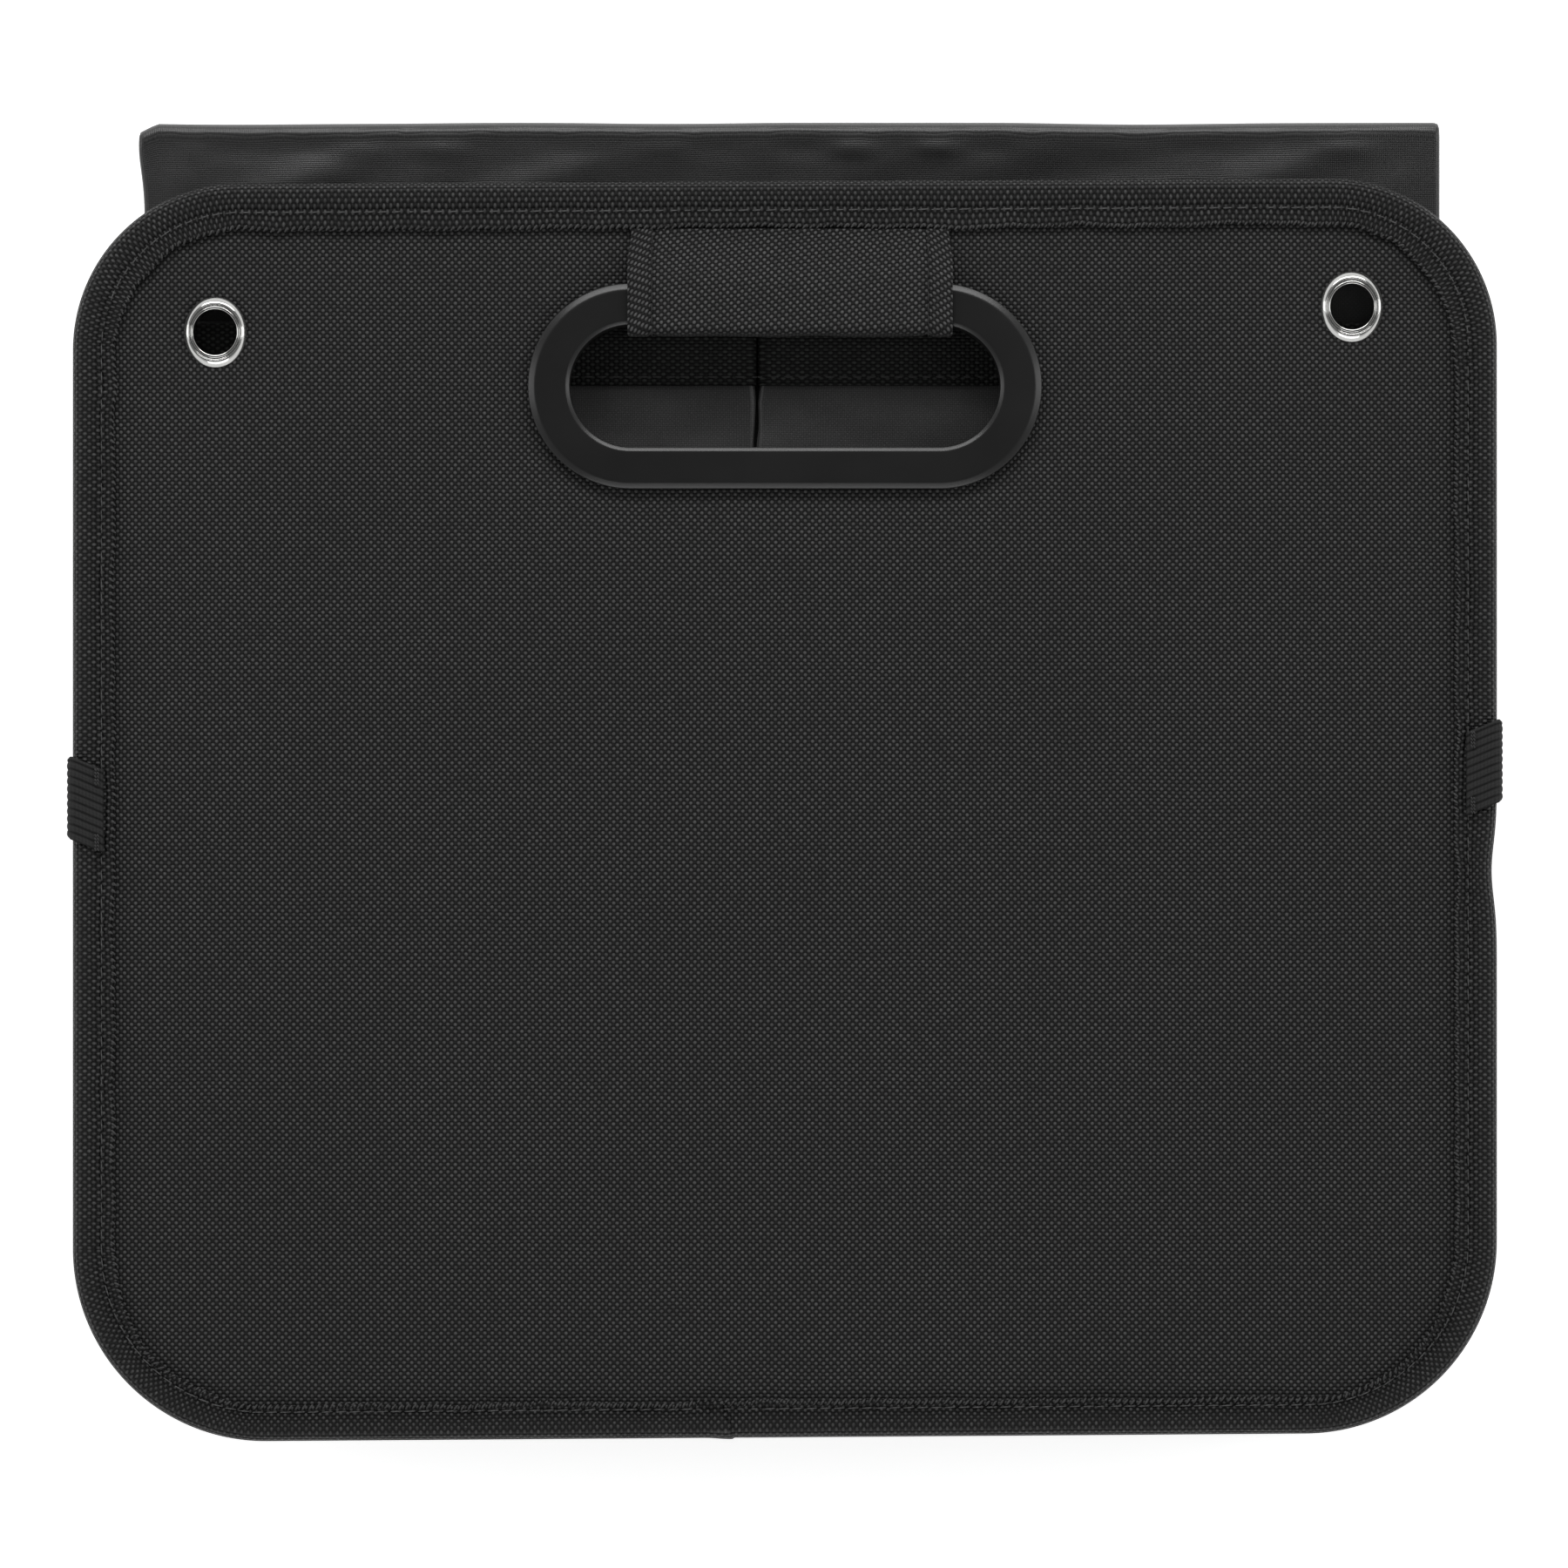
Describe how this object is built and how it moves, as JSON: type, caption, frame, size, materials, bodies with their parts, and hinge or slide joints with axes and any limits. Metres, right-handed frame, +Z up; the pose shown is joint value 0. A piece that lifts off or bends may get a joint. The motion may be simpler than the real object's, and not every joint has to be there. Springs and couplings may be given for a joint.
{
  "type": "collapsed car trunk organizer",
  "caption": "Folding cargo organizer, closed flat: stiff bound end panels with grips and eyelets, nylon walls and base folded between them, elastic side straps.",
  "frame": {"origin": "middle of the footprint, on the surface that the closed organizer lies on", "axes": "+X across the panels to the right, +Y from the panels' bottom edge to the grip, +Z up out of the front panel"},
  "size_m": [0.3318, 0.306, 0.0501],
  "materials": {
    "oxford": "coarse plain-weave black polyester Oxford cloth",
    "nylon": "fine coated black nylon with a soft sheen",
    "webbing": "coarse woven black binding tape with sewn edge loops",
    "elastic": "ribbed black knitted elastic",
    "plastic": "moulded black plastic with a satin surface",
    "chrome": "bright nickel-plated brass",
    "board": "plain hardboard, hidden under cloth",
    "hook_patch": "black hook tape"
  },
  "bodies": {
    "root": {"front_board": "board", "front_face_fabric": "oxford", "front_lining": "nylon", "front_binding": "webbing", "front_grip_frame": "plastic", "front_grip_inner_ring": "plastic", "front_handle_loop": "oxford", "front_left_eyelet": "chrome", "front_left_eyelet_washer": "chrome", "front_right_eyelet": "chrome", "front_right_eyelet_washer": "chrome", "rear_board": "board", "rear_face_fabric": "oxford", "rear_lining": "nylon", "rear_binding": "webbing", "rear_grip_frame": "plastic", "rear_grip_inner_ring": "plastic", "rear_handle_loop": "oxford", "rear_left_eyelet": "chrome", "rear_left_eyelet_washer": "chrome", "rear_right_eyelet": "chrome", "rear_right_eyelet_washer": "chrome", "left_side_wall": "nylon", "left_wall_hem": "webbing", "left_strap": "elastic", "left_strap_patch": "hook_patch", "right_side_wall": "nylon", "right_wall_hem": "webbing", "right_strap": "elastic", "right_strap_patch": "hook_patch", "base_cloth": "nylon", "divider": "nylon", "divider_hem": "webbing", "bottom_board_cover": "nylon", "bottom_board_front": "board", "bottom_board_rear": "board"}
  },
  "joints": []
}
